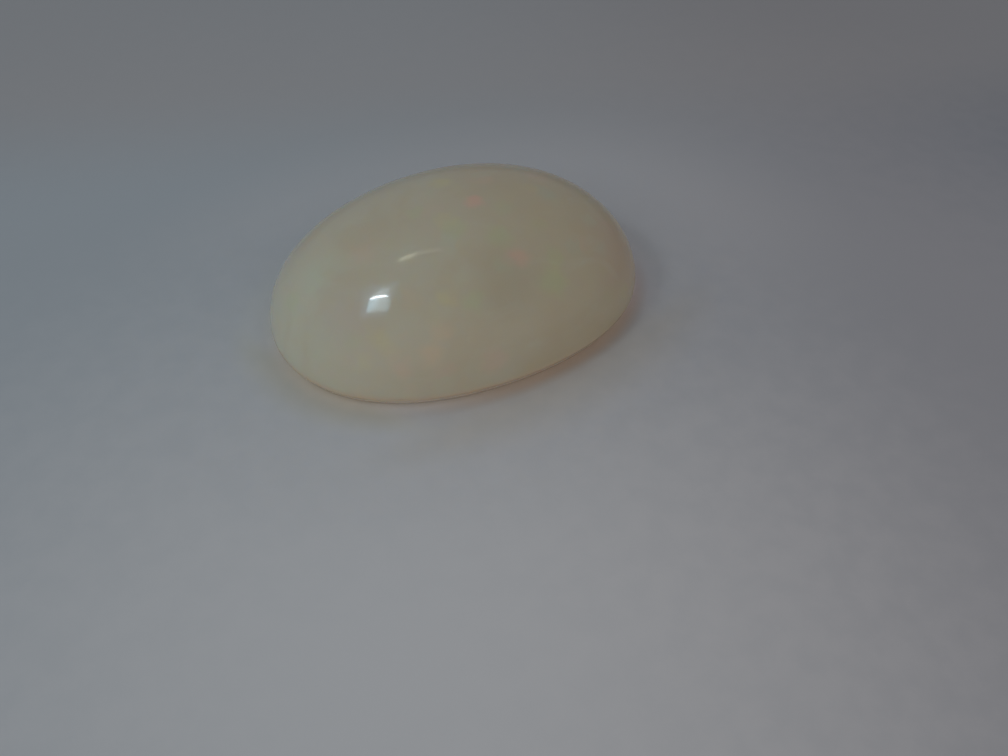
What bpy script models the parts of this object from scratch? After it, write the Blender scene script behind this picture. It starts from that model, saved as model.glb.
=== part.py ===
"""Polished opal cabochon: one stone, cut to an oval with a high dome, resting on its flat back.

Metres, +Z up. The origin is the middle of the flat back, +X runs along the stone and +Y across it.
Run it with blender --background --python part.py, or from Blender's text editor.
"""

import math

import bmesh
import bpy
import numpy as np

MM = 0.001

# Driving dimensions of the finished stone.
LENGTH = 20.0 * MM
WIDTH = 15.0 * MM
HEIGHT = 6.5 * MM

# The outline seen from above is an ellipse, pushed out a little at its four shoulders, and wider
# at the +X end than at the -X end. Both are shares of the distance from the middle.
SHOULDER_SWELL = 0.031
EGG_SHAPE = 0.013

# The girdle is the widest line of the stone. It was cut by hand, so it is not quite level.
GIRDLE_HEIGHT = 0.60 * MM
GIRDLE_WANDER = 0.10 * MM
HIGH_SIDE_HEADING = math.radians(-70.0)

# Below the girdle the side rounds under, runs down a short straight bevel and meets the flat back
# at a softened edge. Angles are measured from the vertical.
GIRDLE_RADIUS = 0.30 * MM
BEVEL_ANGLE = math.radians(35.0)
BACK_EDGE_RADIUS = 0.08 * MM

# Fineness of the faceted solid.
TURN_STEPS = 80
DOME_RINGS = 26
GIRDLE_RINGS = 4
BACK_EDGE_RINGS = 3

MERGE_DISTANCE = 0.0005 * MM

STONE_NAME = "opal_cabochon"
CREAM = (0.66, 0.59, 0.47, 1.0)
POLISHED_ROUGHNESS = 0.08
OPAL_IOR = 1.45


def clear_scene():
    """Remove every object of the open scene."""
    for old in list(bpy.data.objects):
        bpy.data.objects.remove(old, do_unlink=True)


def opal_material():
    """Polished cream opal."""
    material = bpy.data.materials.new("polished_opal")
    material.use_nodes = True
    shader = material.node_tree.nodes["Principled BSDF"]
    shader.inputs["Base Color"].default_value = CREAM
    shader.inputs["Roughness"].default_value = POLISHED_ROUGHNESS
    shader.inputs["Metallic"].default_value = 0.0
    shader.inputs["IOR"].default_value = OPAL_IOR
    material.diffuse_color = CREAM
    return material


def dome_points(radius):
    """Quarter ellipse from the crown of the dome down to the girdle, as (radius, height)."""
    rise = HEIGHT - GIRDLE_HEIGHT
    points = []
    for ring in range(DOME_RINGS + 1):
        angle = 0.5 * math.pi * ring / DOME_RINGS
        points.append((radius * math.sin(angle), GIRDLE_HEIGHT + rise * math.cos(angle)))
    return points


def underside_points(radius):
    """Rounded girdle, straight bevel, softened back edge and flat back, as (radius, height)."""
    points = []
    for ring in range(1, GIRDLE_RINGS + 1):
        angle = BEVEL_ANGLE * ring / GIRDLE_RINGS
        across = radius - GIRDLE_RADIUS * (1.0 - math.cos(angle))
        points.append((across, GIRDLE_HEIGHT - GIRDLE_RADIUS * math.sin(angle)))
    bevel_top, bevel_height = points[-1]
    edge_height = BACK_EDGE_RADIUS * (1.0 - math.sin(BEVEL_ANGLE))
    edge_start = bevel_top - (bevel_height - edge_height) * math.tan(BEVEL_ANGLE)
    centre = edge_start - BACK_EDGE_RADIUS * math.cos(BEVEL_ANGLE)
    for ring in range(BACK_EDGE_RINGS + 1):
        angle = BEVEL_ANGLE + (0.5 * math.pi - BEVEL_ANGLE) * ring / BACK_EDGE_RINGS
        across = centre + BACK_EDGE_RADIUS * math.cos(angle)
        points.append((across, BACK_EDGE_RADIUS * (1.0 - math.sin(angle))))
    points.append((0.0, 0.0))
    return points


def turned_blank(radius):
    """Round blank with the stone's profile, turned about +Z, as a mesh."""
    profile = dome_points(radius) + underside_points(radius)
    outline = bpy.data.meshes.new("blank_profile")
    pairs = [(i, i + 1) for i in range(len(profile) - 1)]
    outline.from_pydata([(across, 0.0, height) for across, height in profile], pairs, [])
    turner = bpy.data.objects.new("blank_profile", outline)
    bpy.context.scene.collection.objects.link(turner)
    screw = turner.modifiers.new("turn", "SCREW")
    screw.axis = "Z"
    screw.steps = TURN_STEPS
    screw.render_steps = TURN_STEPS
    screw.use_merge_vertices = True
    screw.merge_threshold = MERGE_DISTANCE
    graph = bpy.context.evaluated_depsgraph_get()
    blank = bpy.data.meshes.new_from_object(turner.evaluated_get(graph))
    bpy.data.objects.remove(turner, do_unlink=True)
    bpy.data.meshes.remove(outline)
    return blank


def plan_point(heading, level):
    """Point of the plan at a heading; level runs from 0 at the middle to 1 at the girdle."""
    swell = 1.0 + SHOULDER_SWELL * level**2 * np.sin(2.0 * heading) ** 2
    along = np.cos(heading) * swell
    across = np.sin(heading) * swell * (1.0 + EGG_SHAPE * np.cos(heading))
    return 0.5 * LENGTH * level * along, 0.5 * WIDTH * level * across


def inward_normal(heading):
    """Unit vector that points in from the girdle, square to it, at a heading."""
    step = 1e-4
    ones = np.ones_like(heading)
    before_x, before_y = plan_point(heading - step, ones)
    after_x, after_y = plan_point(heading + step, ones)
    run_x, run_y = after_x - before_x, after_y - before_y
    length = np.hypot(run_x, run_y)
    return -run_y / length, run_x / length


def cut_to_oval(blank, radius):
    """Move the round blank's points to the oval, slightly egg-shaped plan and the uneven girdle."""
    count = len(blank.vertices)
    points = np.empty(3 * count)
    blank.vertices.foreach_get("co", points)
    points = points.reshape(count, 3)
    reach = np.hypot(points[:, 0], points[:, 1])
    heading = np.arctan2(points[:, 1], points[:, 0])
    height = points[:, 2]

    # The dome keeps its share of the half width. The underside keeps its distance in from the
    # girdle, so that the bevel has one width all round.
    above = height >= GIRDLE_HEIGHT - MERGE_DISTANCE
    middle = reach < MERGE_DISTANCE
    level = np.where(above, np.minimum(reach / radius, 1.0), 1.0)
    level[middle] = 0.0
    inset = np.where(above | middle, 0.0, radius - reach)
    plan_x, plan_y = plan_point(heading, level)
    in_x, in_y = inward_normal(heading)

    girdle = GIRDLE_HEIGHT + GIRDLE_WANDER * np.cos(heading - HIGH_SIDE_HEADING)
    dome_height = HEIGHT - (HEIGHT - height) * (HEIGHT - girdle) / (HEIGHT - GIRDLE_HEIGHT)
    under_height = height * girdle / GIRDLE_HEIGHT

    points[:, 0] = plan_x + inset * in_x
    points[:, 1] = plan_y + inset * in_y
    points[:, 2] = np.where(above, dome_height, under_height)
    points[middle & above, 2] = HEIGHT
    blank.vertices.foreach_set("co", points.reshape(-1))
    blank.update()


def close_up(mesh):
    """Weld the points that the turning left at both ends of the axis, and face everything out."""
    shape = bmesh.new()
    shape.from_mesh(mesh)
    bmesh.ops.remove_doubles(shape, verts=shape.verts, dist=MERGE_DISTANCE)
    bmesh.ops.recalc_face_normals(shape, faces=shape.faces)
    shape.to_mesh(mesh)
    shape.free()


def build_stone(collection):
    """The whole stone: turn a round blank, cut it to the oval, weld it and shade it smooth."""
    radius = 0.5 * WIDTH
    mesh = turned_blank(radius)
    close_up(mesh)
    cut_to_oval(mesh, radius)
    mesh.name = STONE_NAME
    mesh.shade_smooth()
    mesh.set_sharp_from_angle(angle=math.radians(50.0))
    mesh.materials.append(opal_material())
    stone = bpy.data.objects.new(STONE_NAME, mesh)
    collection.objects.link(stone)
    return stone


def main():
    """Build the stone in a collection of its own."""
    clear_scene()
    collection = bpy.data.collections.new("polished_opal_cabochon")
    bpy.context.scene.collection.children.link(collection)
    build_stone(collection)


main()
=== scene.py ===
"""Polished oval opal cabochon, dressed and set on a plain pale table under soft light.

The stone is one piece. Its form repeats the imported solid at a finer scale, with the slight
unevenness that hand polishing leaves, and its finish carries the cream to honey body, the faint
play of colour and the fine-ground back. Lengths are in metres, and +Z is up.
"""
import logging
import math
from dataclasses import dataclass
from enum import Enum

import bmesh
import bpy
import numpy as np
from mathutils import Matrix, Vector


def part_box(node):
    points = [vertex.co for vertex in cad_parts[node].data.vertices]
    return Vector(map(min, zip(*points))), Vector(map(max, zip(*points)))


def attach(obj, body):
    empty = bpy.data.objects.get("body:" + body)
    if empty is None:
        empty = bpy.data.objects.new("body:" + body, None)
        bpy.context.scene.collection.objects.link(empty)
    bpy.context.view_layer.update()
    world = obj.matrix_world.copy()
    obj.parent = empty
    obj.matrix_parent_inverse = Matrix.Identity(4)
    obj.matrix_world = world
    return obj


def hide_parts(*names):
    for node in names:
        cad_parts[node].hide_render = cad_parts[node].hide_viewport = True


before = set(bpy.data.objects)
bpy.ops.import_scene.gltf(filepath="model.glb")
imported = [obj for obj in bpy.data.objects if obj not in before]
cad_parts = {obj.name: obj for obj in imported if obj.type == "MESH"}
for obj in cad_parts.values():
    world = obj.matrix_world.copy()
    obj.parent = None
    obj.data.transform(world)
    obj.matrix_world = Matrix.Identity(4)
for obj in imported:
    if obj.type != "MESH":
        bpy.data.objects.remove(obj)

LOG = logging.getLogger("opal")

MM = 0.001
STONE_NODE = "opal_cabochon"
BODY = "root"

# A colour as a screen shows it, the same colour in linear values with its alpha, and three numbers
# of any other kind, such as a place or a direction.
Tone = tuple[int, int, int]
Linear = tuple[float, float, float, float]
Triple = tuple[float, float, float]
Socket = bpy.types.NodeSocket

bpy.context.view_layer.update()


class Fire(Enum):
    """The colours that the opal flashes, and three soft tones in it, as a screen shows them."""

    RED = (250, 186, 172)
    ROSE = (244, 196, 182)
    PEACH = (246, 204, 164)
    STRAW = (238, 228, 140)
    LEAF = (190, 226, 150)
    MINT = (200, 236, 208)
    TEAL = (172, 216, 204)
    UMBER = (182, 168, 140)
    RUSSET = (209, 172, 162)
    BLUSH = (206, 180, 177)


def screen_colour(red: int, green: int, blue: int) -> Linear:
    """Turn a colour as it looks on a screen into the scene's linear values.

    Args:
        red: Red from 0 to 255.
        green: Green from 0 to 255.
        blue: Blue from 0 to 255.

    Returns:
        Linear red, green, blue and an alpha of one.
    """
    linear = []
    for value in (red, green, blue):
        share = value / 255.0
        linear.append(share / 12.92 if share <= 0.04045 else ((share + 0.055) / 1.055) ** 2.4)
    return (linear[0], linear[1], linear[2], 1.0)


@dataclass(frozen=True)
class Ramp:
    """A smooth rise of one number with another.

    Attributes:
        start: Where the result is nothing.
        end: Where the result is the top value. It may be lower than the start.
        top: The highest result.
    """

    start: float
    end: float
    top: float = 1.0


@dataclass(frozen=True)
class Cloud:
    """Soft noise that counts for something only where it is strong.

    Attributes:
        size: How big its blobs are, in millimetres.
        detail: How many finer layers are added.
        ramp: What its value, about one half, is turned into.
        warp: How far it distorts itself.
        move: Which stretch of the noise it is, in millimetres.
        stretch: What each axis is multiplied by first.
    """

    size: float
    detail: float
    ramp: Ramp
    warp: float = 0.0
    move: Triple = (0.0, 0.0, 0.0)
    stretch: Triple = (1.0, 1.0, 1.0)


@dataclass(frozen=True)
class Relief:
    """Fine relief that shows only in the way a surface takes the light.

    Attributes:
        size: How big its bumps are, in millimetres.
        detail: How many finer layers are added.
        strength: How strongly it shows, from 0 to 1.
        depth: How far it stands out, in metres.
        move: Which stretch of the noise it is, in millimetres.
        stretch: What each axis is multiplied by first.
    """

    size: float
    detail: float
    strength: float
    depth: float
    move: Triple = (0.0, 0.0, 0.0)
    stretch: Triple = (1.0, 1.0, 1.0)


@dataclass(frozen=True)
class Side:
    """One side of the stone, and how something comes in towards it.

    Attributes:
        heading: Where the side lies, in degrees about +Z.
        ramp: How the thing rises with the way along that heading.
    """

    heading: float
    ramp: Ramp


class Graph:
    """A node tree, with short calls for the nodes that the finishes and the light are made of.

    Where a call takes an object, that is a plain value or the output socket of another node.
    """

    def __init__(self, owner: bpy.types.ID, shader: str) -> None:
        """Take hold of the nodes of a material or a world.

        Args:
            owner: The material or the world.
            shader: The name of the shader node that it starts with.
        """
        self.owner = owner
        owner.use_nodes = True
        self.tree = owner.node_tree
        self.shader = self.tree.nodes[shader]

    def node(self, kind: str, inputs: dict[int | str, object] | None = None,
             **settings: str) -> bpy.types.Node:
        """Add one node.

        Args:
            kind: Its kind, such as ShaderNodeMath.
            inputs: What its input sockets get, by their number or name.
            **settings: Its own settings, such as its operation.

        Returns:
            The node.
        """
        node = self.tree.nodes.new(kind)
        for name, setting in settings.items():
            setattr(node, name, setting)
        for name, value in (inputs or {}).items():
            self.feed(value, node.inputs[name])
        return node

    def feed(self, value: object, socket: Socket) -> None:
        """Give a socket its value, by a link where the value is another node's output.

        Args:
            value: A number, a colour, a vector or an output socket.
            socket: The input that takes it.
        """
        if isinstance(value, Socket):
            self.tree.links.new(value, socket)
        else:
            socket.default_value = value

    def position(self) -> Socket:
        """Return the place on the object in millimetres."""
        inputs = {0: self.node("ShaderNodeTexCoord").outputs["Object"], "Scale": 1.0 / MM}
        return self.node("ShaderNodeVectorMath", inputs, operation="SCALE").outputs["Vector"]

    def along(self, place: object, direction: Triple) -> Socket:
        """Measure how far a place lies along a direction."""
        inputs = {0: place, 1: direction}
        return self.node("ShaderNodeVectorMath", inputs, operation="DOT_PRODUCT").outputs["Value"]

    def away(self, place: object, centre: Triple) -> Socket:
        """Measure how far a place is from a point."""
        inputs = {0: place, 1: centre}
        return self.node("ShaderNodeVectorMath", inputs, operation="DISTANCE").outputs["Value"]

    def math(self, operation: str, first: object, second: object = 0.0) -> Socket:
        """Combine one or two numbers by an operation, such as ADD."""
        return self.node("ShaderNodeMath", {0: first, 1: second}, operation=operation).outputs[0]

    def smooth(self, value: object, ramp: Ramp) -> Socket:
        """Turn a number into another that rises smoothly with it.

        Args:
            value: A number or an output socket.
            ramp: How the result rises.

        Returns:
            The result's socket.
        """
        low, high = (0.0, ramp.top) if ramp.end > ramp.start else (ramp.top, 0.0)
        inputs = {"Value": value, "To Min": low, "To Max": high,
                  "From Min": min(ramp.start, ramp.end), "From Max": max(ramp.start, ramp.end)}
        node = self.node("ShaderNodeMapRange", inputs, interpolation_type="SMOOTHSTEP")
        return node.outputs["Result"]

    def side(self, place: object, side: Side) -> Socket:
        """Return how strong something is that comes in towards one side."""
        turn = math.radians(side.heading)
        return self.smooth(self.along(place, (math.cos(turn), math.sin(turn), 0.0)), side.ramp)

    def mix(self, share: object, first: object, second: object, blend: str = "MIX") -> Socket:
        """Mix two colours by a share of the second, from 0 to 1."""
        inputs = {0: share, 6: first, 7: second}
        return self.node("ShaderNodeMix", inputs, data_type="RGBA", blend_type=blend).outputs[2]

    def shifted(self, place: object, move: object, stretch: Triple = (1.0, 1.0, 1.0)) -> Socket:
        """Stretch a place and then move it, before a texture reads it."""
        inputs = {0: place, 1: stretch, 2: move}
        return self.node("ShaderNodeVectorMath", inputs, operation="MULTIPLY_ADD").outputs["Vector"]

    def noise(self, place: object, size: float, detail: float, warp: float = 0.0) -> Socket:
        """Return soft noise about one half whose blobs are roughly a size across."""
        inputs = {"Vector": place, "Scale": 1.0 / size, "Detail": detail, "Distortion": warp}
        return self.node("ShaderNodeTexNoise", inputs).outputs["Fac"]

    def cloud(self, place: object, cloud: Cloud) -> Socket:
        """Return how strong a cloud is at a place in millimetres."""
        shifted = self.shifted(place, cloud.move, cloud.stretch)
        return self.smooth(self.noise(shifted, cloud.size, cloud.detail, cloud.warp), cloud.ramp)

    def rough(self, place: object, relief: Relief) -> Socket:
        """Return a relief's height, about one half, at a place in millimetres."""
        return self.noise(self.shifted(place, relief.move, relief.stretch), relief.size, relief.detail)

    def bump(self, height: object, relief: Relief, under: Socket | None = None) -> Socket:
        """Turn a height into a normal.

        Args:
            height: The height's socket.
            relief: The relief that says how strong it is and how far it stands out.
            under: Another bump's normal that this one lies on.

        Returns:
            The normal's socket.
        """
        inputs = {"Strength": relief.strength, "Distance": relief.depth, "Height": height}
        if under is not None:
            inputs["Normal"] = under
        return self.node("ShaderNodeBump", inputs).outputs["Normal"]


@dataclass(frozen=True)
class Flash:
    """One patch of spectral colour just under the dome.

    Attributes:
        fire: Its colour.
        along: Its place along the stone from the middle, in millimetres.
        across: Its place across the stone from the middle, in millimetres.
        reach: Half its width, in millimetres.
        strength: How much of the colour shows, from 0 to 1.
    """

    fire: Fire
    along: float
    across: float
    reach: float
    strength: float


@dataclass(frozen=True)
class Wave:
    """One long soft wave that hand polishing leaves in the dome.

    Attributes:
        turn: How fast it runs along X, Y and Z, in radians per millimetre.
        start: Its angle at the middle of the back, in radians.
        height: Its weight beside the other waves.
    """

    turn: Triple
    start: float
    height: float


@dataclass
class Cabochon:
    """The stone: a high oval dome, a rounded girdle, a short bevel and a flat back.

    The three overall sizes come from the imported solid's box.

    Attributes:
        low: The lowest corner of that box.
        high: Its highest corner.
        shoulder_swell: How much fuller than an ellipse the plan is at its shoulders, as a share.
        egg_shape: How much wider than the middle the +X end is, as a share.
        girdle_height: The girdle's mean height above the back.
        girdle_wander: How far the girdle's height goes either way.
        high_side_heading: Where it is highest, as an angle about +Z.
        girdle_radius: The radius that turns the dome under to the bevel.
        bevel_angle: How far the bevel leans in from upright.
        back_edge_radius: The radius between the bevel and the back.
        polish_depth: How deep the polish's waves go.
        polish_from: The height where they begin.
        polish_rise: How far above that they reach their full depth.
        crown_depth: How far below the crown they end.
        waves: The waves.
        turn_steps: How many faces go round.
        dome_rings: How many rings of faces the dome has.
        girdle_rings: How many the girdle's radius has.
        bevel_rings: How many the bevel has.
        back_edge_rings: How many the back edge's radius has.
        back_rings: How many the back has.
        merge_distance: How near two points are when they count as one.
        girdle_step: The small turn over which the girdle's direction is measured, in radians.
    """

    low: Vector
    high: Vector
    shoulder_swell: float = 0.031
    egg_shape: float = 0.013
    girdle_height: float = 0.60 * MM
    girdle_wander: float = 0.10 * MM
    high_side_heading: float = math.radians(-70.0)
    girdle_radius: float = 0.30 * MM
    bevel_angle: float = math.radians(35.0)
    back_edge_radius: float = 0.08 * MM
    polish_depth: float = 0.012 * MM
    polish_from: float = 0.9 * MM
    polish_rise: float = 1.6 * MM
    crown_depth: float = 0.25 * MM
    waves: tuple[Wave, ...] = (
        Wave((0.92, 0.37, 0.0), 0.6, 1.0),
        Wave((-0.48, 1.13, 0.5), 2.1, 1.0),
        Wave((0.61, 0.83, -0.9), 4.0, 0.7),
    )
    turn_steps: int = 240
    dome_rings: int = 84
    girdle_rings: int = 9
    bevel_rings: int = 4
    back_edge_rings: int = 5
    back_rings: int = 24
    merge_distance: float = 0.0005 * MM
    girdle_step: float = 1e-4

    @property
    def length(self) -> float:
        """The stone's length along +X."""
        return self.high.x - self.low.x

    @property
    def width(self) -> float:
        """The stone's width along +Y."""
        return self.high.y - self.low.y

    @property
    def height(self) -> float:
        """The stone's height."""
        return self.high.z - self.low.z

    def profile(self) -> list[tuple[float, float]]:
        """Work out the outline of a round blank, from the crown down to the middle of the back.

        Returns:
            Points as distance from the axis and height.
        """
        radius = 0.5 * self.width
        rise = self.height - self.girdle_height
        points = []
        for ring in range(self.dome_rings + 1):
            angle = 0.5 * math.pi * ring / self.dome_rings
            points.append((radius * math.sin(angle), self.girdle_height + rise * math.cos(angle)))
        for ring in range(1, self.girdle_rings + 1):
            angle = self.bevel_angle * ring / self.girdle_rings
            across = radius - self.girdle_radius * (1.0 - math.cos(angle))
            points.append((across, self.girdle_height - self.girdle_radius * math.sin(angle)))
        bevel_across, bevel_height = points[-1]
        edge_height = self.back_edge_radius * (1.0 - math.sin(self.bevel_angle))
        edge_across = bevel_across - (bevel_height - edge_height) * math.tan(self.bevel_angle)
        for ring in range(1, self.bevel_rings):
            share = ring / self.bevel_rings
            points.append((bevel_across + (edge_across - bevel_across) * share,
                           bevel_height + (edge_height - bevel_height) * share))
        centre = edge_across - self.back_edge_radius * math.cos(self.bevel_angle)
        for ring in range(self.back_edge_rings + 1):
            share = ring / self.back_edge_rings
            angle = self.bevel_angle + (0.5 * math.pi - self.bevel_angle) * share
            points.append((centre + self.back_edge_radius * math.cos(angle),
                           self.back_edge_radius * (1.0 - math.sin(angle))))
        back_radius = points[-1][0]
        for ring in range(1, self.back_rings + 1):
            points.append((back_radius * (1.0 - ring / self.back_rings), 0.0))
        return points

    def turned(self) -> bpy.types.Mesh:
        """Turn the profile about +Z into a closed round blank.

        Returns:
            The blank's mesh, with its faces pointing out.
        """
        shape = bmesh.new()
        corners = [shape.verts.new((across, 0.0, height)) for across, height in self.profile()]
        edges = [shape.edges.new(pair) for pair in zip(corners, corners[1:])]
        bmesh.ops.spin(shape, geom=corners + edges, cent=(0.0, 0.0, 0.0), axis=(0.0, 0.0, 1.0),
                       dvec=(0.0, 0.0, 0.0), angle=2.0 * math.pi, steps=self.turn_steps,
                       use_merge=True, use_duplicate=False)
        bmesh.ops.remove_doubles(shape, verts=shape.verts, dist=self.merge_distance)
        bmesh.ops.recalc_face_normals(shape, faces=shape.faces)
        mesh = bpy.data.meshes.new(STONE_NODE)
        shape.to_mesh(mesh)
        shape.free()
        return mesh

    def plan_point(self, heading: np.ndarray, level: np.ndarray) -> tuple[np.ndarray, np.ndarray]:
        """Find points of the oval plan.

        Args:
            heading: Angles about +Z.
            level: From 0 at the middle to 1 at the girdle.

        Returns:
            The points' X and Y.
        """
        swell = 1.0 + self.shoulder_swell * level**2 * np.sin(2.0 * heading) ** 2
        along = np.cos(heading) * swell
        across = np.sin(heading) * swell * (1.0 + self.egg_shape * np.cos(heading))
        return 0.5 * self.length * level * along, 0.5 * self.width * level * across

    def inward(self, heading: np.ndarray) -> tuple[np.ndarray, np.ndarray]:
        """Find the directions that point in from the girdle, square to it.

        Args:
            heading: Angles about +Z.

        Returns:
            The unit vectors' X and Y.
        """
        ones = np.ones_like(heading)
        before_x, before_y = self.plan_point(heading - self.girdle_step, ones)
        after_x, after_y = self.plan_point(heading + self.girdle_step, ones)
        run_x, run_y = after_x - before_x, after_y - before_y
        length = np.hypot(run_x, run_y)
        return -run_y / length, run_x / length

    def girdle(self, heading: np.ndarray) -> np.ndarray:
        """Return the height of the slightly uneven girdle at some headings."""
        return self.girdle_height + self.girdle_wander * np.cos(heading - self.high_side_heading)

    def unevenness(self, points: np.ndarray) -> np.ndarray:
        """Work out how far hand polishing has taken the dome down, in long soft waves.

        Args:
            points: Places on the stone, one row each.

        Returns:
            Depths from nothing to the polish depth.
        """
        total = sum(wave.height * np.sin(points / MM @ np.array(wave.turn) + wave.start)
                    for wave in self.waves)
        share = 0.5 + 0.5 * total / sum(wave.height for wave in self.waves)
        rise = np.clip((points[:, 2] - self.polish_from) / self.polish_rise, 0.0, 1.0)
        crown = np.clip((self.height - points[:, 2]) / self.crown_depth, 0.0, 1.0)
        fade = rise * crown
        return self.polish_depth * share * fade * fade * (3.0 - 2.0 * fade)

    def cut(self, mesh: bpy.types.Mesh) -> None:
        """Move the round blank's points to the oval plan and the uneven girdle, and polish it.

        Args:
            mesh: The blank, which is changed in place.
        """
        radius = 0.5 * self.width
        count = len(mesh.vertices)
        points = np.empty(3 * count)
        mesh.vertices.foreach_get("co", points)
        points = points.reshape(count, 3)
        reach = np.hypot(points[:, 0], points[:, 1])
        heading = np.arctan2(points[:, 1], points[:, 0])
        height = points[:, 2]
        back_radius = self.profile()[-self.back_rings - 1][0]
        above = height >= self.girdle_height - self.merge_distance
        back = (height < self.merge_distance) & (reach < back_radius)

        # Dome points keep their share of the half width. Underside points keep their distance in
        # from the girdle. Points of the flat back shrink towards the middle from its edge.
        level = np.where(above, np.minimum(reach / radius, 1.0), 1.0)
        inset = np.where(above, 0.0, radius - np.maximum(reach, back_radius))
        plan_x, plan_y = self.plan_point(heading, level)
        in_x, in_y = self.inward(heading)
        share = np.where(back, reach / back_radius, 1.0)
        girdle = self.girdle(heading)
        dome = self.height - (self.height - height) * (self.height - girdle) / (
            self.height - self.girdle_height)
        under = height * girdle / self.girdle_height

        points[:, 0] = (plan_x + inset * in_x) * share
        points[:, 1] = (plan_y + inset * in_y) * share
        points[:, 2] = np.where(above, dome, under)
        mesh.vertices.foreach_set("co", points.reshape(-1))
        mesh.update()
        normals = np.empty(3 * count)
        mesh.vertices.foreach_get("normal", normals)
        points -= normals.reshape(count, 3) * self.unevenness(points)[:, None]
        mesh.vertices.foreach_set("co", points.reshape(-1))
        mesh.update()

    def surface_point(self, along: float, across: float) -> Vector:
        """Find the dome's surface over a place on the plan.

        Args:
            along: X in millimetres.
            across: Y in millimetres.

        Returns:
            The point on the dome, in millimetres.
        """
        x, y = along * MM, across * MM
        heading = np.array(math.atan2(y / self.width, x / self.length))
        edge_x, edge_y = self.plan_point(heading, np.array(1.0))
        level = min(1.0, math.hypot(x, y) / math.hypot(float(edge_x), float(edge_y)))
        girdle = float(self.girdle(heading))
        height = girdle + (self.height - girdle) * math.sqrt(1.0 - level * level)
        return Vector((along, across, height / MM))

    def build(self) -> bpy.types.Object:
        """Make the stone's object.

        Returns:
            The smooth-shaded stone, in the scene.
        """
        mesh = self.turned()
        self.cut(mesh)
        mesh.shade_smooth()
        stone = bpy.data.objects.new("opal_stone", mesh)
        bpy.context.scene.collection.objects.link(stone)
        return stone


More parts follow.
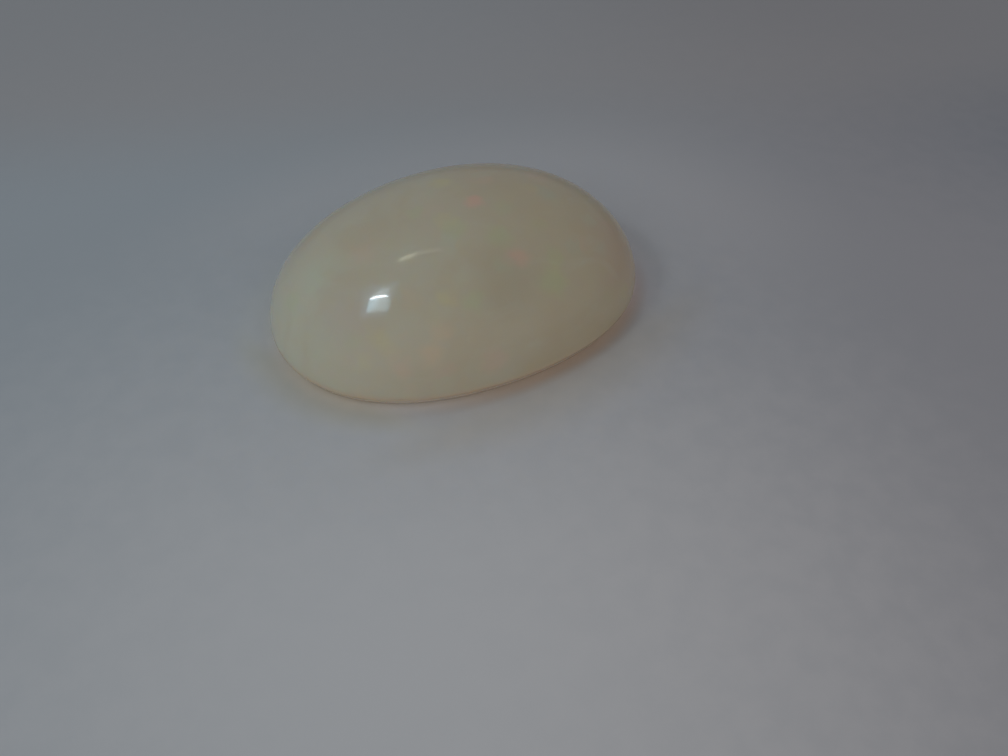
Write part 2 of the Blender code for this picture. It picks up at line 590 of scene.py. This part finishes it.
@dataclass(frozen=True)
class OpalFinish:
    """Polished white opal: cream to honey body, soft clouds, faint fire and a fine-ground back.

    Attributes:
        milk: The body's colour at the milky end.
        cream: Its colour in the middle.
        honey: Its colour at the warm end.
        amber: The warmer tone painted low on the dome, for light that has come far through it.
        skirt: The paler tone painted on the bevel, for light from the table that reaches it.
        potch: The plain opal that mottles the back.
        honey_heading: Where the warm end lies, in degrees about +Z.
        milk_run: How milk gives way to cream along that heading, in millimetres.
        honey_run: How cream gives way to honey along it, in millimetres.
        drift: What moves those borders about.
        clouds: Honey clouds in the body.
        veils: Milky veils in the body.
        rim: The heights of the amber tone, in millimetres.
        bevel: The heights of the skirt tone.
        back: The heights where the potch shows.
        sawn: The heights where the surface is ground and not polished.
        glow_depth: How deep light goes.
        glow_spread: How deep red, green and blue go beside that.
        ior: The refractive index.
        polish: The roughness of the polished dome.
        ground: The roughness of the bevel and the back.
        smear: Where the polish is a little less bright.
        satin: How the grain roughens the ground faces.
        grain_size: The size of the grain, in millimetres.
        grain_detail: How many finer layers it has.
        mottle: How the grain mottles the potch.
        lapping: The grinding marks of the bevel and the back.
        peel: The slight waviness of the polish.
        cell_size: The size of the cells that flash, in millimetres.
        cell_strength: How strongly the strongest of them flash.
        cell_edge: How a cell fades towards its border.
        cell_choice: How many of the cells flash.
        cell_fires: The colours that they flash.
        wobble: How far the flashes' borders wander, in millimetres.
        wobble_scale: How fast they wander, in turns per millimetre.
        wobble_detail: How many finer layers the wandering has.
        flash_gone: Where a flash has faded away, as a share of its reach.
        flash_full: Where it is at its full strength, likewise.
        flashes: The larger single flashes.
    """

    milk: Tone = (214, 213, 194)
    cream: Tone = (211, 201, 178)
    honey: Tone = (206, 188, 158)
    amber: Tone = (214, 189, 164)
    skirt: Tone = (227, 210, 191)
    potch: Tone = (212, 206, 188)
    honey_heading: float = -24.0
    milk_run: Ramp = Ramp(-8.0, 3.0)
    honey_run: Ramp = Ramp(0.0, 12.0)
    drift: Cloud = Cloud(7.0, 2.0, Ramp(0.25, 0.75, 5.0), 0.4, (11.0, 4.0, 7.0))
    clouds: Cloud = Cloud(3.4, 2.5, Ramp(0.42, 0.75, 0.30), 0.8, (3.0, 21.0, 5.0))
    veils: Cloud = Cloud(2.2, 3.0, Ramp(0.50, 0.78, 0.25), 1.2, (31.0, 2.0, 15.0), (0.55, 1.0, 1.0))
    rim: Ramp = Ramp(0.95, 0.40, 0.9)
    bevel: Ramp = Ramp(0.50, 0.30)
    back: Ramp = Ramp(0.06, 0.01, 0.6)
    sawn: Ramp = Ramp(0.36, 0.24)
    glow_depth: float = 2.0 * MM
    glow_spread: Triple = (1.0, 0.72, 0.45)
    ior: float = 1.45
    polish: float = 0.08
    ground: float = 0.34
    smear: Cloud = Cloud(1.6, 3.0, Ramp(0.45, 0.75, 0.02), 0.0, (5.0, 5.0, 5.0), (1.0, 0.3, 1.0))
    satin: Ramp = Ramp(0.3, 0.7, 0.10)
    grain_size: float = 0.28
    grain_detail: float = 3.0
    mottle: Ramp = Ramp(0.35, 0.7)
    lapping: Relief = Relief(0.9, 2.0, 0.35, 0.02 * MM, stretch=(1.0, 14.0, 1.0))
    peel: Relief = Relief(0.8, 1.0, 0.10, 0.01 * MM, (9.0, 1.0, 2.0))
    cell_size: float = 1.3
    cell_strength: float = 0.10
    cell_edge: Ramp = Ramp(0.60, 0.15)
    cell_choice: Ramp = Ramp(0.40, 0.95)
    cell_fires: tuple[Fire, ...] = (
        Fire.ROSE, Fire.STRAW, Fire.LEAF, Fire.TEAL, Fire.PEACH, Fire.MINT)
    wobble: float = 0.9
    wobble_scale: float = 1.1
    wobble_detail: float = 2.0
    flash_gone: float = 1.45
    flash_full: float = 0.25
    flashes: tuple[Flash, ...] = (
        Flash(Fire.RED, 0.80, -0.77, 0.48, 0.35),
        Flash(Fire.RED, 1.39, -4.42, 0.56, 0.30),
        Flash(Fire.ROSE, 5.37, 1.04, 0.75, 0.14),
        Flash(Fire.ROSE, 2.20, 1.03, 0.60, 0.16),
        Flash(Fire.ROSE, -5.28, -0.93, 0.70, 0.12),
        Flash(Fire.PEACH, -4.22, -6.26, 0.60, 0.22),
        Flash(Fire.PEACH, -3.45, -5.89, 0.55, 0.18),
        Flash(Fire.ROSE, -5.65, -6.03, 0.55, 0.16),
        Flash(Fire.ROSE, -1.40, -7.21, 0.70, 0.18),
        Flash(Fire.STRAW, 0.20, 1.69, 0.55, 0.18),
        Flash(Fire.LEAF, -0.89, -2.02, 0.60, 0.12),
        Flash(Fire.LEAF, 0.90, -3.18, 0.70, 0.14),
        Flash(Fire.MINT, 0.45, -4.57, 0.55, 0.14),
        Flash(Fire.LEAF, 2.71, -5.57, 0.80, 0.17),
        Flash(Fire.LEAF, 3.23, -4.61, 0.55, 0.12),
        Flash(Fire.LEAF, -1.58, -5.53, 0.60, 0.14),
        Flash(Fire.STRAW, -2.68, -5.01, 0.50, 0.16),
        Flash(Fire.STRAW, -6.11, -4.95, 0.60, 0.12),
        Flash(Fire.TEAL, 4.88, -0.81, 0.70, 0.12),
        Flash(Fire.MINT, -7.36, -0.29, 1.20, 0.10),
        Flash(Fire.MINT, -8.31, -3.13, 1.20, 0.10),
        Flash(Fire.UMBER, 0.33, -5.30, 1.80, 0.25),
        Flash(Fire.RUSSET, 7.60, -4.00, 2.40, 0.22),
        Flash(Fire.BLUSH, -7.30, -3.20, 1.80, 0.22),
    )

    def body(self, graph: Graph, place: object) -> Socket:
        """Colour the body: milky at one end, honey at the other, clouded in between.

        Args:
            graph: The material's nodes.
            place: The place's socket, in millimetres.

        Returns:
            The body colour's socket.
        """
        milk, cream, honey = (screen_colour(*tone) for tone in (self.milk, self.cream, self.honey))
        turn = math.radians(self.honey_heading)
        run = graph.along(place, (math.cos(turn), math.sin(turn), 0.0))
        run = graph.math("ADD", run, graph.cloud(place, self.drift))
        colour = graph.mix(graph.smooth(run, self.milk_run), milk, cream)
        colour = graph.mix(graph.smooth(run, self.honey_run), colour, honey)
        colour = graph.mix(graph.cloud(place, self.clouds), colour, honey)
        return graph.mix(graph.cloud(place, self.veils), colour, milk)

    def wandering(self, graph: Graph, place: object) -> Socket:
        """Move a place about a little, so that what is laid on it has wandering borders.

        Args:
            graph: The material's nodes.
            place: The place's socket, in millimetres.

        Returns:
            The new place's socket.
        """
        noise = graph.node("ShaderNodeTexNoise", {
            "Vector": place, "Scale": self.wobble_scale, "Detail": self.wobble_detail})
        back = graph.shifted(place, (-0.5 * self.wobble,) * 3)
        return graph.shifted(noise.outputs["Color"], back, (self.wobble,) * 3)

    def cells(self, graph: Graph, place: object, colour: object) -> Socket:
        """Let small cells of the body flash faintly, each in a colour of its own.

        Args:
            graph: The material's nodes.
            place: The wandering place's socket, in millimetres.
            colour: The body colour's socket.

        Returns:
            The colour's socket.
        """
        cells = graph.node("ShaderNodeTexVoronoi", {"Vector": place, "Scale": 1.0 / self.cell_size})
        split = graph.node("ShaderNodeSeparateColor", {"Color": cells.outputs["Color"]})
        ramp = graph.node("ShaderNodeValToRGB", {"Fac": split.outputs["Red"]})
        ramp.color_ramp.interpolation = "CONSTANT"
        stops = ramp.color_ramp.elements
        while len(stops) < len(self.cell_fires):
            stops.new(0.5)
        for number, fire in enumerate(self.cell_fires):
            stops[number].position = number / len(self.cell_fires)
            stops[number].color = screen_colour(*fire.value)
        inside = graph.smooth(cells.outputs["Distance"], self.cell_edge)
        chosen = graph.math("MULTIPLY", graph.smooth(split.outputs["Green"], self.cell_choice),
                            self.cell_strength)
        return graph.mix(graph.math("MULTIPLY", inside, chosen), colour, ramp.outputs["Color"])

    def fire(self, graph: Graph, place: object, colour: object, stone: Cabochon) -> Socket:
        """Lay the play of colour over the body.

        Args:
            graph: The material's nodes.
            place: The place's socket, in millimetres.
            colour: The body colour's socket.
            stone: The stone, which says how high its dome is over each flash.

        Returns:
            The colour's socket.
        """
        place = self.wandering(graph, place)
        colour = self.cells(graph, place, colour)
        for flash in self.flashes:
            centre = tuple(stone.surface_point(flash.along, flash.across))
            fade = Ramp(self.flash_gone * flash.reach, self.flash_full * flash.reach, flash.strength)
            share = graph.smooth(graph.away(place, centre), fade)
            colour = graph.mix(share, colour, screen_colour(*flash.fire.value))
        return colour

    def surface(self, graph: Graph, place: object, ground: object, grain: object) -> None:
        """Polish the dome and leave the bevel and the back fine-ground.

        Args:
            graph: The material's nodes.
            place: The place's socket, in millimetres.
            ground: A socket that is one where the stone is only ground.
            grain: A fine noise's socket.
        """
        gloss = graph.math("ADD", graph.cloud(place, self.smear), self.polish)
        satin = graph.math("ADD", graph.smooth(grain, self.satin), self.ground)
        rough = graph.node("ShaderNodeMix", {0: ground, 2: gloss, 3: satin})
        graph.feed(rough.outputs[0], graph.shader.inputs["Roughness"])
        marks = graph.math("ADD", graph.rough(place, self.lapping), grain)
        normal = graph.bump(graph.math("MULTIPLY", marks, ground), self.lapping)
        normal = graph.bump(graph.rough(place, self.peel), self.peel, normal)
        graph.feed(normal, graph.shader.inputs["Normal"])

    def material(self, stone: Cabochon) -> bpy.types.Material:
        """Make the stone's material.

        Args:
            stone: The stone that the finish is for.

        Returns:
            The material.
        """
        graph = Graph(bpy.data.materials.new("polished_opal"), "Principled BSDF")
        place = graph.position()
        height = graph.along(place, (0.0, 0.0, 1.0))
        grain = graph.noise(place, self.grain_size, self.grain_detail)

        colour = self.fire(graph, place, self.body(graph, place), stone)
        # Painted light: amber for light through the stone, the skirt for light from the table.
        colour = graph.mix(graph.smooth(height, self.rim), colour, screen_colour(*self.amber))
        colour = graph.mix(graph.smooth(height, self.bevel), colour, screen_colour(*self.skirt))
        mottle = graph.smooth(grain, self.mottle)
        potch = graph.mix(mottle, screen_colour(*self.potch), screen_colour(*self.cream))
        colour = graph.mix(graph.smooth(height, self.back), colour, potch)
        graph.feed(colour, graph.shader.inputs["Base Color"])
        self.surface(graph, place, graph.smooth(height, self.sawn), grain)

        shader = graph.shader
        shader.inputs["IOR"].default_value = self.ior
        shader.inputs["Subsurface Weight"].default_value = 1.0
        shader.inputs["Subsurface Radius"].default_value = self.glow_spread
        shader.inputs["Subsurface Scale"].default_value = self.glow_depth
        return graph.owner


@dataclass(frozen=True)
class Table:
    """The plain pale paper under the stone, which isn't part of it.

    Light that has come through the stone warms the paper beside it, so the paper knows where the
    stone's oval is. Lengths in its ramps are in millimetres, and those of the ramps beside the
    stone count from the girdle's plan outwards. The cool and back sides count from the stone's
    middle, and the other sides in shares of its half length and half width.

    Attributes:
        stone: The stone that rests on it.
        size: How wide the round top is, in metres.
        segments: How many corners its edge has.
        gap: How far its top is below the stone's back, so that the two faces stay apart.
        near: The paper's colour in the light.
        middle: Its colour round the lit part.
        far: Its colour where the light has fallen away.
        pool: The middle of the lit part.
        pool_near: How near gives way to middle, away from there.
        pool_far: How middle gives way to far.
        mottle: The faint unevenness of that fall.
        cool: Its colour towards the cool daylight.
        cool_side: How that comes in.
        back: Its colour further behind the stone.
        back_side: How that comes in.
        lift: How far painted light lightens the paper just behind the stone.
        lift_side: How that depends on the side.
        tint: The painted warm shadow beside the stone, for shade warmed by light through it.
        tint_near: How far that painted shadow reaches on the warm side.
        tint_wide: How far it reaches faintly all round.
        warm_side: How strong the painted shadow is towards the warm side, away from the window.
        wide_side: How strong the faint part is towards it.
        haze: A faint painted warm shade on the paper further out in front.
        haze_reach: How the haze fades away from the stone.
        haze_side: How it depends on the side.
        milky: A faint painted warm shade on the paper beside the milky end.
        milky_reach: How that fades away from the stone.
        milky_side: How it depends on the side.
        seep: The colour of the painted glow for light that seeps out under the bevel.
        seep_warm: Its colour on the warm side.
        seep_side: How it turns to the warm colour.
        seep_glow: How it fades away from the stone.
        front_side: How it gathers in front.
        front_least: The least of it that is left on any side.
        shade: The colour of the faint painted light that fills the shadow at the +X end.
        shade_glow: How that light fades away from the stone.
        shade_side: How it comes in towards that end.
        sheen: The colour of painted daylight that the polished -X end throws down on the paper.
        sheen_glow: How the sheen fades away from the stone.
        sheen_side: How it depends on the side.
        tooth: The paper's fine surface.
        roughness: How matt it is, from 0 to 1.
        shine: Its mirror share.
        soak: How far light spreads inside the paper, in metres.
        soak_spread: How far red, green and blue spread beside that.
        soak_reach: How far from the stone the spread is worked out.
    """

    stone: Cabochon
    size: float = 1.2
    segments: int = 96
    gap: float = 0.01 * MM
    near: Tone = (242, 230, 227)
    middle: Tone = (181, 177, 181)
    far: Tone = (145, 147, 156)
    pool: Triple = (-12.0, -19.0, 0.0)
    pool_near: Ramp = Ramp(1.4, 36.0)
    pool_far: Ramp = Ramp(37.0, 70.0)
    mottle: Cloud = Cloud(1.4, 4.0, Ramp(0.3, 0.7, 2.0))
    cool: Tone = (194, 219, 230)
    cool_side: Side = Side(156.0, Ramp(-30.0, 9.4, 0.35))
    back: Tone = (186, 179, 178)
    back_side: Side = Side(68.0, Ramp(10.0, 25.3, 0.56))
    lift: Ramp = Ramp(14.0, 5.0, 0.16)
    lift_side: Side = Side(49.0, Ramp(-0.3, 1.3))
    tint: Tone = (232, 210, 190)
    tint_near: Ramp = Ramp(0.9, -0.1)
    tint_wide: Ramp = Ramp(1.8, -0.2)
    warm_side: Side = Side(-62.0, Ramp(0.4, 1.0, 0.8))
    wide_side: Side = Side(-62.0, Ramp(-0.9, 0.2, 0.22))
    haze: Tone = (246, 230, 202)
    haze_reach: Ramp = Ramp(5.0, 1.0)
    haze_side: Side = Side(-78.0, Ramp(0.8, 1.15, 0.38))
    milky: Tone = (254, 251, 238)
    milky_reach: Ramp = Ramp(2.2, 0.2)
    milky_side: Side = Side(-157.0, Ramp(0.84, 0.995))
    seep: Linear = (1.0, 0.82, 0.62, 1.0)
    seep_warm: Linear = (1.0, 0.77, 0.60, 1.0)
    seep_side: Side = Side(-62.0, Ramp(0.6, 1.0))
    seep_glow: Ramp = Ramp(0.62, -0.35, 0.064)
    front_side: Side = Side(-110.4, Ramp(-0.6, 0.6, 0.5))
    front_least: float = 0.5
    shade: Linear = (0.85, 0.80, 1.0, 1.0)
    shade_glow: Ramp = Ramp(1.8, -0.2, 0.037)
    shade_side: Side = Side(0.0, Ramp(0.6, 1.0))
    sheen: Linear = (0.95, 1.0, 0.60, 1.0)
    sheen_glow: Ramp = Ramp(2.4, 0.8, 0.012)
    sheen_side: Side = Side(145.0, Ramp(0.75, 1.1))
    tooth: Relief = Relief(0.35, 3.0, 0.2, 0.02 * MM)
    roughness: float = 0.95
    shine: float = 0.2
    soak: float = 2.0 * MM
    soak_spread: Triple = (1.0, 0.9, 0.8)
    soak_reach: Ramp = Ramp(9.0, 5.0)

    def outline(self, graph: Graph, place: object) -> tuple[Socket, Socket]:
        """Find where a place is about the stone's oval.

        Args:
            graph: The material's nodes.
            place: The place's socket, in millimetres.

        Returns:
            The place as shares of the half length and half width, and how far outside the girdle's
            plan it is, in millimetres. The distance is scaled by the mean half width, which is near
            enough so close by.
        """
        half_length, half_width = 0.5 * self.stone.length / MM, 0.5 * self.stone.width / MM
        oval = graph.shifted(place, (0.0, 0.0, 0.0), (1.0 / half_length, 1.0 / half_width, 0.0))
        level = graph.away(oval, (0.0, 0.0, 0.0))
        product = graph.math("MULTIPLY", graph.along(oval, (2.0, 0.0, 0.0)),
                             graph.along(oval, (0.0, 1.0, 0.0)))
        shoulder = graph.math("DIVIDE", product, graph.math("MULTIPLY", level, level))
        shoulder = graph.math("MULTIPLY", shoulder, shoulder)
        swell = graph.math("MULTIPLY", shoulder, self.stone.shoulder_swell)
        outside = graph.math("SUBTRACT", level, graph.math("ADD", swell, 1.0))
        return oval, graph.math("MULTIPLY", outside, 0.5 * (half_length + half_width))

    def paper(self, graph: Graph, place: object, oval: object, beyond: object) -> Socket:
        """Colour the paper, and paint warm shade and light on it beside the stone.

        Args:
            graph: The material's nodes.
            place: The place's socket, in millimetres.
            oval: The place as shares of the half length and half width.
            beyond: How far outside the girdle's plan it is, in millimetres.

        Returns:
            The colour's socket.
        """
        apart = graph.math("ADD", graph.away(place, self.pool), graph.cloud(place, self.mottle))
        near = screen_colour(*self.near)
        paper = near
        for share, tone in ((graph.smooth(apart, self.pool_near), self.middle),
                            (graph.smooth(apart, self.pool_far), self.far),
                            (graph.side(place, self.cool_side), self.cool),
                            (graph.side(place, self.back_side), self.back)):
            paper = graph.mix(share, paper, screen_colour(*tone))
        lift, close, wide, hazed, milky = (
            graph.math("MULTIPLY", graph.smooth(beyond, reach), graph.side(oval, side))
            for reach, side in ((self.lift, self.lift_side), (self.tint_near, self.warm_side),
                                (self.tint_wide, self.wide_side), (self.haze_reach, self.haze_side),
                                (self.milky_reach, self.milky_side)))
        # Painted light: the paper just behind the stone is lifted towards its lit colour.
        paper = graph.mix(lift, paper, near)
        # Painted warm shade: the tint, the haze and the milky tone darken and warm the paper.
        for share, tone in ((graph.math("ADD", close, wide), self.tint), (hazed, self.haze),
                            (milky, self.milky)):
            paper = graph.mix(share, paper, screen_colour(*tone), "MULTIPLY")
        return paper

    def light(self, graph: Graph, oval: object, beyond: object) -> None:
        """Paint the paper's glow: light that seeps out under the bevel and light thrown down on it.

        Args:
            graph: The material's nodes.
            oval: The place as shares of the half length and half width.
            beyond: How far outside the girdle's plan it is, in millimetres.
        """
        front = graph.math("ADD", graph.side(oval, self.front_side), self.front_least)
        # Painted light in the shadow at the +X end and a painted sheen beside the -X end.
        end, sunny = graph.side(oval, self.shade_side), graph.side(oval, self.sheen_side)
        seeping, shaded, shining = (
            graph.math("MULTIPLY", graph.smooth(beyond, glow), share)
            for glow, share in ((self.seep_glow, front), (self.shade_glow, end),
                                (self.sheen_glow, sunny)))
        strength = graph.math("ADD", graph.math("ADD", seeping, shaded), shining)
        colour = graph.mix(graph.side(oval, self.seep_side), self.seep, self.seep_warm)
        colour = graph.mix(sunny, graph.mix(end, colour, self.shade), self.sheen)
        # Painted light: the paper glows here for light that the stone lets out and throws down.
        graph.feed(strength, graph.shader.inputs["Emission Strength"])
        graph.feed(colour, graph.shader.inputs["Emission Color"])

    def material(self) -> bpy.types.Material:
        """Make matt pale paper with a faint mottle.

        Returns:
            The material.
        """
        graph = Graph(bpy.data.materials.new("pale_paper"), "Principled BSDF")
        place = graph.position()
        oval, beyond = self.outline(graph, place)
        shader = graph.shader
        graph.feed(self.paper(graph, place, oval, beyond), shader.inputs["Base Color"])
        self.light(graph, oval, beyond)
        normal = graph.bump(graph.rough(place, self.tooth), self.tooth)
        graph.feed(normal, shader.inputs["Normal"])
        graph.feed(graph.smooth(beyond, self.soak_reach), shader.inputs["Subsurface Weight"])
        shader.inputs["Roughness"].default_value = self.roughness
        shader.inputs["Specular IOR Level"].default_value = self.shine
        shader.inputs["Subsurface Radius"].default_value = self.soak_spread
        shader.inputs["Subsurface Scale"].default_value = self.soak
        return graph.owner

    def build(self) -> bpy.types.Object:
        """Make the table top.

        Returns:
            The table's object.
        """
        shape = bmesh.new()
        bmesh.ops.create_circle(shape, cap_ends=True, radius=0.5 * self.size,
                                segments=self.segments,
                                matrix=Matrix.Translation((0.0, 0.0, -self.gap)))
        mesh = bpy.data.meshes.new("table")
        shape.to_mesh(mesh)
        shape.free()
        table = bpy.data.objects.new("table", mesh)
        table.data.materials.append(self.material())
        bpy.context.scene.collection.objects.link(table)
        return table


def bearing(azimuth: float, elevation: float) -> Vector:
    """Find the direction of a place around the stone.

    Args:
        azimuth: In degrees; 0 is the -Y side, 90 the +X side and -90 the -X side.
        elevation: In degrees above the horizon.

    Returns:
        The unit vector from the stone towards it.
    """
    turn, lift = math.radians(azimuth), math.radians(elevation)
    return Vector((math.sin(turn) * math.cos(lift), -math.cos(turn) * math.cos(lift), math.sin(lift)))


class Job(Enum):
    """What a panel is for: the light that it throws, or only its mirror image in the polish."""

    WASH = "wash"
    GLINT = "glint"


@dataclass(frozen=True)
class Panel:
    """A flat soft light that faces the stone.

    Attributes:
        job: Whether it throws light or is only mirrored.
        name: The light's name.
        azimuth: Its bearing in degrees.
        elevation: Its height above the horizon in degrees.
        wide: How wide it looks from the stone, in degrees.
        tall: How tall it looks from the stone, in degrees.
        roll: How far it is turned about its own line to the stone, in degrees.
        brightness: The radiance of its face.
        tint: Its colour as linear red, green and blue.
        distance: How far it is from the stone.
    """

    job: Job
    name: str
    azimuth: float
    elevation: float
    wide: float
    tall: float
    roll: float
    brightness: float
    tint: Triple
    distance: float = 0.45

    def build(self, target: Vector) -> bpy.types.Object:
        """Make the light.

        Args:
            target: What it faces.

        Returns:
            The light's object.
        """
        away = bearing(self.azimuth, self.elevation)
        upward = (Vector((0.0, 0.0, 1.0)) - away * away.z).normalized()
        turn = Matrix.Rotation(math.radians(self.roll), 3, away)
        light = bpy.data.lights.new(self.name, "AREA")
        light.shape = "RECTANGLE"
        light.size = 2.0 * self.distance * math.tan(math.radians(0.5 * self.wide))
        light.size_y = 2.0 * self.distance * math.tan(math.radians(0.5 * self.tall))
        light.energy = self.brightness * math.pi * light.size * light.size_y
        light.color = self.tint
        lamp = bpy.data.objects.new(self.name, light)
        axes = Matrix((turn @ upward.cross(away), turn @ upward, away)).transposed()
        lamp.matrix_world = Matrix.Translation(target + away * self.distance) @ axes.to_4x4()
        lamp.visible_glossy = self.job is Job.GLINT
        lamp.visible_diffuse = self.job is Job.WASH
        bpy.context.scene.collection.objects.link(lamp)
        return lamp


@dataclass(frozen=True)
class Glow:
    """A broad soft part of the surround.

    Attributes:
        azimuth: The bearing of its middle in degrees.
        elevation: The height of its middle above the horizon in degrees.
        edge: The cosine of the angle at which it has faded away.
        strength: The radiance of its middle.
    """

    azimuth: float
    elevation: float
    edge: float
    strength: float


@dataclass(frozen=True)
class Studio:
    """Soft light all round, a wash from the stone's left, and the window and lamp it mirrors.

    Attributes:
        tint: The surround's colour as linear red, green and blue.
        surround: Its radiance where no glow reaches.
        glows: Its brighter parts.
        panels: The wash, the parts of the mirrored window and the parts of the mirrored lamp.
    """

    tint: Triple = (0.917, 0.966, 1.0)
    surround: float = 0.163
    glows: tuple[Glow, ...] = (
        Glow(-20.0, 0.0, -0.3, 0.298),
        Glow(-88.0, 45.0, 0.0, 0.088),
        Glow(160.0, 20.0, -0.2, 0.084),
    )
    panels: tuple[Panel, ...] = (
        Panel(Job.WASH, "window_wash", -92.0, 47.0, 9.0, 9.0, 0.0, 8.1, (0.917, 0.966, 1.0)),
        Panel(Job.GLINT, "window_glow", -84.6, 61.1, 17.0, 25.0, 46.0, 1.15, (0.30, 0.62, 1.0)),
        Panel(Job.GLINT, "window_left", -83.1, 58.0, 4.2, 9.5, 42.0, 9.3, (0.54, 0.83, 1.0)),
        Panel(Job.GLINT, "window_right", -74.6, 61.4, 6.8, 9.8, 40.0, 4.6, (0.65, 0.90, 1.0)),
        Panel(Job.GLINT, "window_top", -94.3, 67.1, 6.3, 3.8, 48.0, 4.0, (0.72, 0.86, 1.0)),
        Panel(Job.GLINT, "window_bar_left", -92.5, 61.5, 2.4, 0.9, 72.0, 90.0, (0.77, 0.90, 1.0)),
        Panel(Job.GLINT, "window_bar", -86.8, 64.85, 6.3, 0.75, 44.0, 118.0, (0.77, 0.90, 1.0)),
        Panel(Job.GLINT, "lamp", -160.4, 72.7, 6.4, 2.5, 147.0, 4.4, (1.0, 0.99, 0.72)),
        Panel(Job.GLINT, "lamp_end", 172.8, 76.0, 9.4, 1.7, 160.0, 1.6, (1.0, 0.98, 0.80)),
    )

    def build(self, target: Vector) -> list[bpy.types.Object]:
        """Light the scene.

        Args:
            target: What the panels face.

        Returns:
            The lights.
        """
        world = bpy.data.worlds.new("soft_surround")
        graph = Graph(world, "Background")
        outward = graph.node("ShaderNodeTexCoord").outputs["Generated"]
        strength = self.surround
        for glow in self.glows:
            facing = graph.along(outward, tuple(bearing(glow.azimuth, glow.elevation)))
            light = graph.smooth(facing, Ramp(glow.edge, 1.0, glow.strength))
            strength = graph.math("ADD", light, strength)
        graph.feed(strength, graph.shader.inputs["Strength"])
        graph.feed((*self.tint, 1.0), graph.shader.inputs["Color"])
        bpy.context.scene.world = world
        bpy.context.scene.view_settings.view_transform = "Standard"
        return [panel.build(target) for panel in self.panels]


@dataclass(frozen=True)
class Viewpoint:
    """Where the stone is looked at from: close, in front of its left end, well above it.

    Attributes:
        azimuth: The camera's bearing from the stone in degrees.
        elevation: Its height above the horizon in degrees.
        distance: How far it is from the point over the stone's middle.
        aim_height: How high that point is.
        turned_right: How far the camera is turned past the stone, in degrees.
        tilted_down: How far it is tilted below the stone, in degrees.
        focal_length: The lens, in millimetres.
        film_width: The width of its picture, in millimetres.
        nearest: Where it begins to see.
        furthest: Where it ends.
    """

    azimuth: float = -23.93
    elevation: float = 38.0
    distance: float = 53.21 * MM
    aim_height: float = 2.5 * MM
    turned_right: float = 3.49
    tilted_down: float = 6.65
    focal_length: float = 36.0
    film_width: float = 36.0
    nearest: float = 1.0 * MM
    furthest: float = 10.0

    def build(self) -> bpy.types.Object:
        """Make the camera.

        Returns:
            The camera's object, set as the scene's camera.
        """
        back = bearing(self.azimuth, self.elevation)
        ahead = -bearing(self.azimuth - self.turned_right, self.elevation + self.tilted_down)
        data = bpy.data.cameras.new("close_camera")
        data.lens = self.focal_length
        data.sensor_width = self.film_width
        data.clip_start = self.nearest
        data.clip_end = self.furthest
        camera = bpy.data.objects.new("close_camera", data)
        camera.location = Vector((0.0, 0.0, self.aim_height)) + back * self.distance
        camera.rotation_mode = "QUATERNION"
        camera.rotation_quaternion = ahead.to_track_quat("-Z", "Y")
        bpy.context.scene.collection.objects.link(camera)
        bpy.context.scene.camera = camera
        return camera


def main() -> None:
    """Build the stone, the table, the lights and the camera, in that order."""
    logging.basicConfig(level=logging.INFO, format="%(name)s: %(message)s")
    low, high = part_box(STONE_NODE)
    cabochon = Cabochon(low, high)
    stone = cabochon.build()
    stone.data.materials.append(OpalFinish().material(cabochon))
    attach(stone, BODY)
    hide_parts(STONE_NODE)
    LOG.info("%s: %d faces", stone.name, len(stone.data.polygons))
    table = Table(cabochon).build()
    LOG.info("%s: %.0f mm across", table.name, table.dimensions.x / MM)
    target = Vector((0.0, 0.0, 0.5 * cabochon.height))
    for lamp in Studio().build(target):
        LOG.info("%s: %.3f W", lamp.name, lamp.data.energy)
    camera = Viewpoint().build()
    LOG.info("%s: %.0f mm from the stone", camera.name, camera.location.length / MM)


if __name__ == "__main__":
    main()
